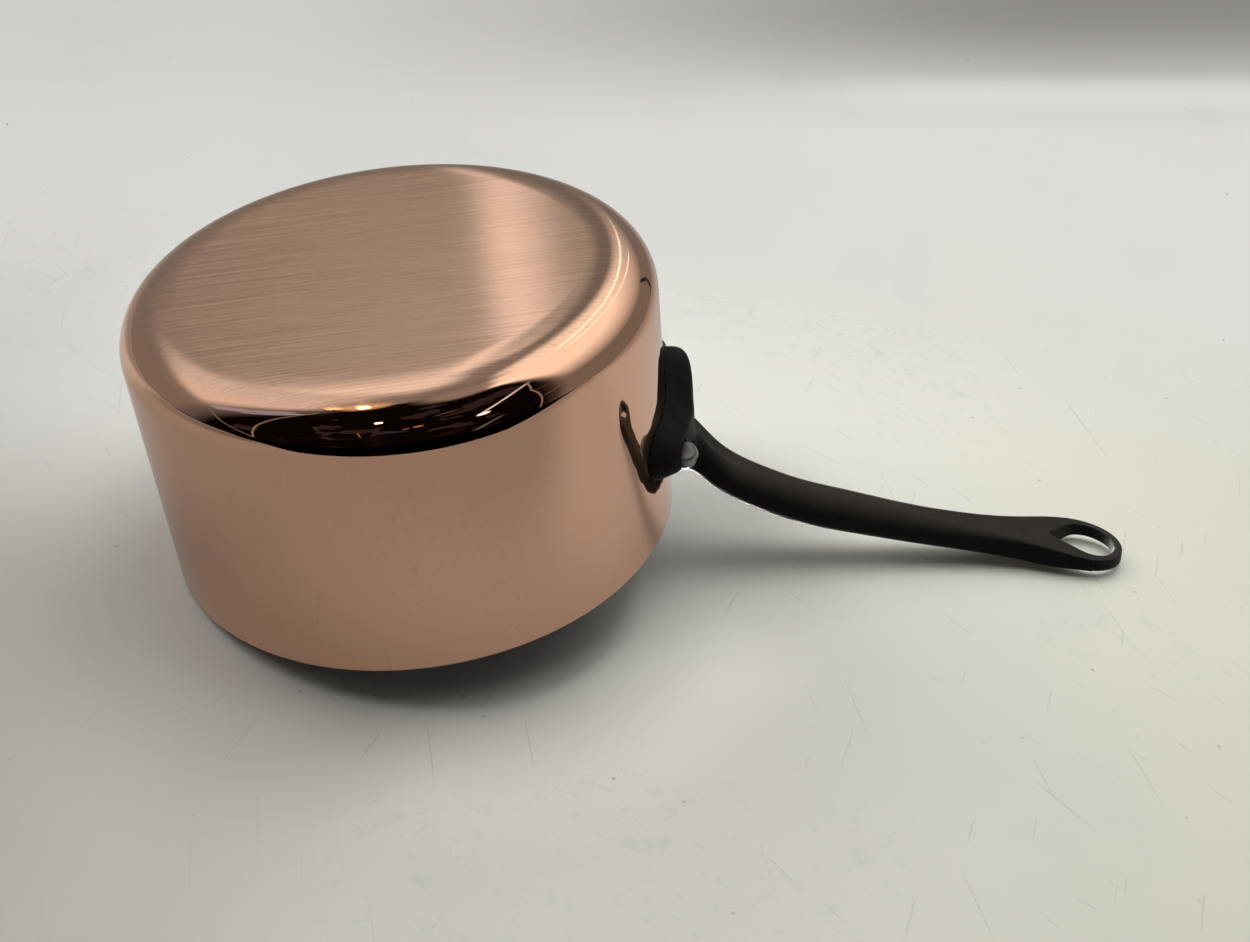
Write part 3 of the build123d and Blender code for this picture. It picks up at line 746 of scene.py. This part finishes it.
class HandleField:
    STEP = 0.75

    def __init__(self):
        chord = np.r_[0, np.cumsum(np.hypot(np.diff(SHAFT[:, 0]), np.diff(SHAFT[:, 1])))]
        t = np.linspace(0, chord[-1], 700)
        self.line = spline(chord, SHAFT, t)
        c = self.line[:, :2]
        d = np.gradient(c, axis=0)
        d /= np.hypot(d[:, 0], d[:, 1])[:, None]
        self.dir = d
        self.gap = np.hypot(*np.diff(c, axis=0).T).mean()
        # nearest place on the centre line, tabled over the plane of symmetry
        self.x = np.arange(82.0, 303.0, self.STEP)
        self.z = np.arange(48.0, 194.0, self.STEP)
        X, Z = np.meshgrid(self.x, self.z, indexing="ij")
        P = np.stack([X.ravel(), Z.ravel()], 1)
        s = np.empty(len(P))
        off = np.empty(len(P))
        for a in range(0, len(P), 8000):
            p = P[a:a + 8000]
            i = ((p[:, None, 0] - c[None, :, 0]) ** 2 + (p[:, None, 1] - c[None, :, 1]) ** 2).argmin(1)
            e = p - c[i]
            along = (e * d[i]).sum(1)
            s[a:a + 8000] = i + along / self.gap
            off[a:a + 8000] = e[:, 1] * d[i, 0] - e[:, 0] * d[i, 1]
        self.s, self.off = s.reshape(X.shape), off.reshape(X.shape)

    def lookup(self, x, z):
        fx = np.clip((x - self.x[0]) / self.STEP, 0, len(self.x) - 1.001)
        fz = np.clip((z - self.z[0]) / self.STEP, 0, len(self.z) - 1.001)
        i, k = fx.astype(int), fz.astype(int)
        fx, fz = fx - i, fz - k
        out = []
        for tab in (self.s, self.off):
            out.append((tab[i, k] * (1 - fx) + tab[i + 1, k] * fx) * (1 - fz) + (tab[i, k + 1] * (1 - fx) + tab[i + 1, k + 1] * fx) * fz)
        return out

    def shaft(self, x, y, z):
        s, off = self.lookup(x, z)
        s = np.clip(s, 0, len(self.line) - 1.001)
        i = s.astype(int)
        f = (s - i)[:, None]
        L = self.line[i, 2:] * (1 - f) + self.line[i + 1, 2:] * f
        a, b = L[:, 0], L[:, 1]
        d = rrect(off, y, a, b, L[:, 2] * np.minimum(a, b))
        ex, ey = np.maximum(x - END_X, 0) / (TIP_X - END_X), y / END_HALF
        q = np.hypot(ex, ey)
        g = np.hypot(ex / (TIP_X - END_X), ey / END_HALF) / np.maximum(q, 1e-6)
        plan = np.where(x > END_X, (q - 1) / np.maximum(g, 1e-6), -20.0)
        return smax(d, plan, 1.0)

    def flange(self, x, y, z):
        low = 54.2 + 0.137 * (x - 108.0)
        boss = rrect(y, z - (low + 108) / 2, 15.0, (108 - low) / 2, 14.5)
        lean = math.hypot(1, 0.03)
        out = (np.hypot(x, y) - 110.4 - 0.03 * (80 - z)) / lean
        body = boss
        for side in (1, -1):
            ca, sa = math.cos(EAR_ANGLE), side * math.sin(EAR_ANGLE)
            t = x * ca + y * sa
            u = (-x * sa + y * ca) * side
            tt = np.clip(t, 92.0, 110.0)
            zc, h, end = (self.quad(tt, j) for j in (1, 2, 3))
            ear = rrect(u - (end - EAR_IN) / 2, z - zc, (EAR_IN + end) / 2, h / 2, np.minimum(h / 2, end) - 0.05) * 0.82
            body = smin(body, ear, 7.0)
            out = smax(out, t - 108.6, 0.9)
        # the top of the middle leans back under the shaft
        for (xa, za), (xb, zb) in (((109.9, 86), (108.2, 100)), ((108.2, 100), (104, 108.5))):
            n = math.hypot(xb - xa, zb - za)
            out = smax(out, ((zb - za) * (x - xa) - (xb - xa) * (z - za)) / n, 1.0)
        w = np.clip((np.abs(y) - 9) / 11, 0, 1)
        edge = 6.0 - 4.2 * w * w * (3 - 2 * w)
        return smax(body, out, edge)

    @staticmethod
    def quad(t, j):
        (a, b, c), (fa, fb, fc) = EAR[:, 0], EAR[:, j]
        return fa * (t - b) * (t - c) / ((a - b) * (a - c)) + fb * (t - a) * (t - c) / ((b - a) * (b - c)) + fc * (t - a) * (t - b) / ((c - a) * (c - b))

    def cuts(self, x, y, z):
        """distance inside what is taken away: the pan's wall, rivet seats and holes"""
        d = 100.0 - np.hypot(x, y)
        for side in (1, -1):
            ca, sa = math.cos(EAR_ANGLE), side * math.sin(EAR_ANGLE)
            t = x * ca + y * sa
            rho = np.hypot(-x * sa + y * ca, z - EAR_Z)
            rho = np.where(t < 60, 99.0, rho)
            d = np.maximum(d, 3.0 - rho)
            d = np.maximum(d, np.minimum(6.2 - rho, t - EAR_SEAT))
        return d

    def solid(self, x, y, z):
        d = smin(self.shaft(x, y, z), np.where(x < 140, self.flange(x, y, z), 99.0), 4.0)
        # hanging eye, a teardrop with its point towards the pan
        px, py = x - 284.3, np.abs(y)
        ux = -px                                  # towards the point
        hh, r1, r2 = 284.3 - 267.7, 11.3, 1.5
        b = (r1 - r2) / hh
        a = math.sqrt(1 - b * b)
        k = -b * py + a * ux
        eye = np.where(k < 0, np.hypot(ux, py) - r1, np.where(k > a * hh, np.hypot(ux - hh, py) - r2, py * a + ux * b - r1))
        return smax(d, -eye, 0.9)

    def __call__(self, p):
        x, y, z = p[:, 0], p[:, 1], p[:, 2]
        return np.maximum(self.solid(x, y, z), self.cuts(x, y, z))


def surface_nets(field, lo, hi, h):
    """quad mesh of field = 0 inside a box"""
    n = [int(math.ceil((b - a) / h / 4)) * 4 + 1 for a, b in zip(lo, hi)]
    ax = [a + h * np.arange(k) for a, k in zip(lo, n)]
    # coarse look first, then the fine values near the surface
    cx = [v[::4] for v in ax]
    G = np.stack(np.meshgrid(*cx, indexing="ij"), -1).reshape(-1, 3)
    C = field(G).reshape([len(v) for v in cx])
    D = np.repeat(np.repeat(np.repeat(C, 4, 0), 4, 1), 4, 2)
    D = D[:n[0] + 2, :n[1] + 2, :n[2] + 2]
    D = np.roll(D, (-2, -2, -2), (0, 1, 2))[:n[0], :n[1], :n[2]].astype(np.float32)
    near = np.abs(D) < 8 * h
    idx = np.argwhere(near)
    P = np.stack([ax[i][idx[:, i]] for i in range(3)], 1)
    D[near] = field(P)
    inside = D < 0
    m = [s - 1 for s in n]
    count = np.zeros(m, np.int8)
    for i in (0, 1):
        for j in (0, 1):
            for k in (0, 1):
                count += inside[i:i + m[0], j:j + m[1], k:k + m[2]]
    active = (count > 0) & (count < 8)
    cells = np.argwhere(active)
    number = -np.ones(m, np.int32)
    number[active] = np.arange(len(cells))
    total = np.zeros((len(cells), 3))
    hits = np.zeros(len(cells))
    corners = [(i, j, k) for i in (0, 1) for j in (0, 1) for k in (0, 1)]
    val = {c: D[cells[:, 0] + c[0], cells[:, 1] + c[1], cells[:, 2] + c[2]] for c in corners}
    for c in corners:
        for axis in range(3):
            if c[axis]:
                continue
            e = list(c)
            e[axis] = 1
            a, b = val[c], val[tuple(e)]
            cross = (a < 0) != (b < 0)
            f = np.where(cross, a / np.where(cross, a - b, 1), 0)
            q = np.array(c, float)[None].repeat(len(cells), 0)
            q[:, axis] += f
            total[cross] += q[cross]
            hits[cross] += 1
    V = np.array(lo) + h * (cells + total / hits[:, None])
    F = []
    for axis in range(3):
        a = [slice(None)] * 3
        b = [slice(None)] * 3
        a[axis], b[axis] = slice(0, -1), slice(1, None)
        A, B = inside[tuple(a)], inside[tuple(b)]
        cross = A != B
        e = np.argwhere(cross)
        o1, o2 = [(1, 2), (2, 0), (0, 1)][axis]
        e = e[(e[:, o1] > 0) & (e[:, o2] > 0) & (e[:, o1] < m[o1]) & (e[:, o2] < m[o2])]
        quad = []
        for d1, d2 in ((1, 1), (0, 1), (0, 0), (1, 0)):
            q = e.copy()
            q[:, o1] -= d1
            q[:, o2] -= d2
            quad.append(number[q[:, 0], q[:, 1], q[:, 2]])
        quad = np.stack(quad, 1)
        flip = ~A[e[:, 0], e[:, 1], e[:, 2]]
        quad[flip] = quad[flip][:, ::-1]
        F.append(quad)
    return V, np.concatenate(F)


def settle(fun, V, rounds=3, eps=0.04, most=0.3):
    """moves points onto fun = 0 along its gradient"""
    for _ in range(rounds):
        g = np.stack([fun(V + e) - fun(V - e) for e in np.eye(3) * eps], 1) / (2 * eps)
        s = np.maximum((g ** 2).sum(1), 0.05)
        step = -(fun(V) / s)[:, None] * g
        ln = np.linalg.norm(step, axis=1)[:, None]
        V = V + step * np.minimum(1, most / np.maximum(ln, 1e-9))
    return V


def handle_mesh(h=0.62):
    f = HandleField()
    V, F = surface_nets(f, (85.0, -51.5, 51.0), (301.0, 51.5, 191.0), h)
    solid = lambda p: f.solid(p[:, 0], p[:, 1], p[:, 2])
    cuts = lambda p: f.cuts(p[:, 0], p[:, 1], p[:, 2])
    V = settle(f, V)
    # points near a sharp rim are pulled onto both surfaces
    for _ in range(4):
        a, b = np.abs(solid(V)), np.abs(cuts(V))
        rim = (a < 0.45 * h) & (b < 0.45 * h)
        if not rim.any():
            break
        R = settle(cuts, V[rim], 1)
        V[rim] = settle(solid, R, 1)
    return V, F


def mesh_object(name, V, F):
    me = bpy.data.meshes.new(name)
    me.from_pydata((np.asarray(V) * 0.001).tolist(), [], F)
    me.validate()
    me.update()
    me.polygons.foreach_set("use_smooth", np.ones(len(me.polygons), bool))
    ob = bpy.data.objects.new(name, me)
    coll.objects.link(ob)
    return ob


V, F = handle_mesh()
lo_h, hi_h = (np.array(c) * 1000 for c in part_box("iron_handle"))
V = np.clip(V, lo_h, hi_h)
handle = mesh_object("handle_casting", V, F.tolist())
handle.data.set_sharp_from_angle(angle=math.radians(38))


# ---------------------------------------------------------------------------
# copper body: turned from its profile, fine enough for a mirror finish
# ---------------------------------------------------------------------------
def arc(cx, cz, r, a0, a1, n):
    return [(cx + r * math.cos(math.radians(a)), cz + r * math.sin(math.radians(a))) for a in np.linspace(a0, a1, n)]


def corner():
    """outer profile from the flat base to the upright wall, the base turning up gently at first: points and outward normals"""
    k = math.radians(7.0)
    f = np.linspace(0, 1, 10)
    a = np.stack([75 + 8 * f, 4 * k * f * f], 1)
    ta = np.stack([np.ones(10), k * f], 1)
    t = np.linspace(0, 1, 34)[1:, None]
    p0, p3 = a[-1], np.array([100.0, 17.0])
    p1, p2 = p0 + 9.1 * np.array([math.cos(k), math.sin(k)]), p3 - (0, 9.1)
    b = (1 - t) ** 3 * p0 + 3 * (1 - t) ** 2 * t * p1 + 3 * (1 - t) * t * t * p2 + t ** 3 * p3
    tb = (1 - t) ** 2 * (p1 - p0) + 2 * (1 - t) * t * (p2 - p1) + t * t * (p3 - p2)
    P, T = np.concatenate([a, b]), np.concatenate([ta, tb])
    T /= np.hypot(T[:, 0], T[:, 1])[:, None]
    return P, np.stack([T[:, 1], -T[:, 0]], 1)


def body_profile():
    out = [(20, 0), (45, 0), (65, 0)] + [tuple(p) for p in corner()[0]]
    out += [(100, z) for z in (24, 36, 52, 66, 85, 98)] + arc(99.1, 109.1, 0.9, 0, 90, 9)
    inn = [(97.8, 110), (97.8, 90), (97.8, 60), (97.8, 36)] + arc(83, 17, 14.8, 0, -90, 17) + [(60, 2.2), (25, 2.2)]
    return out + inn


def turned(name, profile, parts, z0, z1):
    """surface of revolution closed by a middle point at z0 below and z1 above"""
    n = len(profile)
    ang = np.linspace(0, 2 * math.pi, parts, endpoint=False)
    V = [(r * math.cos(a), r * math.sin(a), z) for r, z in profile for a in ang]
    V += [(0, 0, z0), (0, 0, z1)]
    F = []
    for i in range(n - 1):
        for j in range(parts):
            k = (j + 1) % parts
            F.append((i * parts + j, i * parts + k, (i + 1) * parts + k, (i + 1) * parts + j))
    for j in range(parts):
        k = (j + 1) % parts
        F.append((n * parts, j, k)[::-1])
        F.append((n * parts + 1, (n - 1) * parts + k, (n - 1) * parts + j)[::-1])
    return mesh_object(name, V, F)


def drill(ob, radius):
    """rivet holes through the wall"""
    V, F = [], []
    for side in (1, -1):
        a = side * EAR_ANGLE
        c, s = math.cos(a), math.sin(a)
        first = len(V)
        k = 32
        for t in (90.0, 110.0):
            for j in range(k):
                b = 2 * math.pi * j / k
                u, w = radius * math.cos(b), radius * math.sin(b)
                V.append((t * c - u * s, t * s + u * c, EAR_Z + w))
        F.append(tuple(first + j for j in range(k))[::-1])
        F.append(tuple(first + k + j for j in range(k)))
        F += [(first + j, first + (j + 1) % k, first + k + (j + 1) % k, first + k + j) for j in range(k)]
    tool = mesh_object("drill", V, F)
    mod = ob.modifiers.new("holes", "BOOLEAN")
    mod.operation, mod.solver, mod.object = "DIFFERENCE", "EXACT", tool
    me = bpy.data.meshes.new_from_object(ob.evaluated_get(bpy.context.evaluated_depsgraph_get()))
    ob.modifiers.clear()
    old, ob.data = ob.data, me
    bpy.data.meshes.remove(old)
    bpy.data.objects.remove(tool)


def body_normals(me):
    """normals of the true profile, so that reflections run clean over it"""
    nl = len(me.loops)
    vi = np.empty(nl, int)
    me.loops.foreach_get("vertex_index", vi)
    co = np.empty(len(me.vertices) * 3)
    me.vertices.foreach_get("co", co)
    co = co.reshape(-1, 3)[vi] * 1000
    pn = np.empty(len(me.polygons) * 3)
    me.polygons.foreach_get("normal", pn)
    size = np.empty(len(me.polygons), int)
    me.polygons.foreach_get("loop_total", size)
    pn = np.repeat(pn.reshape(-1, 3), size, 0)
    r, z = np.hypot(co[:, 0], co[:, 1]), co[:, 2]
    er = np.stack([co[:, 0], co[:, 1], 0 * r], 1) / np.maximum(r, 1e-6)[:, None]
    ez = np.array([0, 0, 1.0])
    best = pn.copy()
    score = np.full(nl, 0.90)

    def offer(nr, nz):
        nonlocal best, score
        q = nr[:, None] * er + nz[:, None] * ez
        q /= np.maximum(np.linalg.norm(q, axis=1), 1e-9)[:, None]
        s = (q * pn).sum(1)
        take = s > score
        best[take], score = q[take], np.maximum(score, s)

    P, Q = corner()
    i = np.argmin((r[:, None] - P[None, :, 0]) ** 2 + (z[:, None] - P[None, :, 1]) ** 2, axis=1)
    on = (r > 74.9) & (z < 16.9) & (np.hypot(r - P[i, 0], z - P[i, 1]) < 0.02)
    nr = np.where(on, Q[i, 0], np.where(z > 109.1, np.maximum(r - 99.1, 0), 1.0))
    nz = np.where(on, Q[i, 1], np.where(z > 109.1, z - 109.1, 0.0))
    offer(nr, nz)
    offer(-np.where(z < 17, np.maximum(r - 83, 0), 1.0), np.where(z < 17, 17 - z, 0.0))
    me.normals_split_custom_set(best.tolist())


body = turned("copper_shell", body_profile(), 360, 0, 2.2)
drill(body, 3.0)
body_normals(body.data)

copper, lining, iron, steel = copper_material(), lining_material(), iron_material(), rivet_material()
body.data.materials.clear()
body.data.materials.append(copper)
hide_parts("copper_body")
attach(body, "root")
give(nodes["steel_lining"], lining)
handle.data.materials.append(iron)
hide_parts("iron_handle")
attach(handle, "root")
give(nodes["rivet_near"], steel)
give(nodes["rivet_far"], steel)
# the stage's table hides these lamps from reflected rays, so they are sampled directly
for lamp in (upright, upright_side):
    lamp.data.cycles.use_multiple_importance_sampling = False
only(upright, "lit_upright", [nodes["steel_lining"]])
only(upright_side, "lit_upright_side", [handle, nodes["rivet_near"], nodes["rivet_far"]])
nodes["steel_lining"].visible_diffuse = False
only(ground, "lit_ground", [floor])
only(near_fill, "lit_table", [table_seen])

scene.view_settings.view_transform = "Standard"
scene.view_settings.look = "None"
scene.view_settings.exposure = 0.0
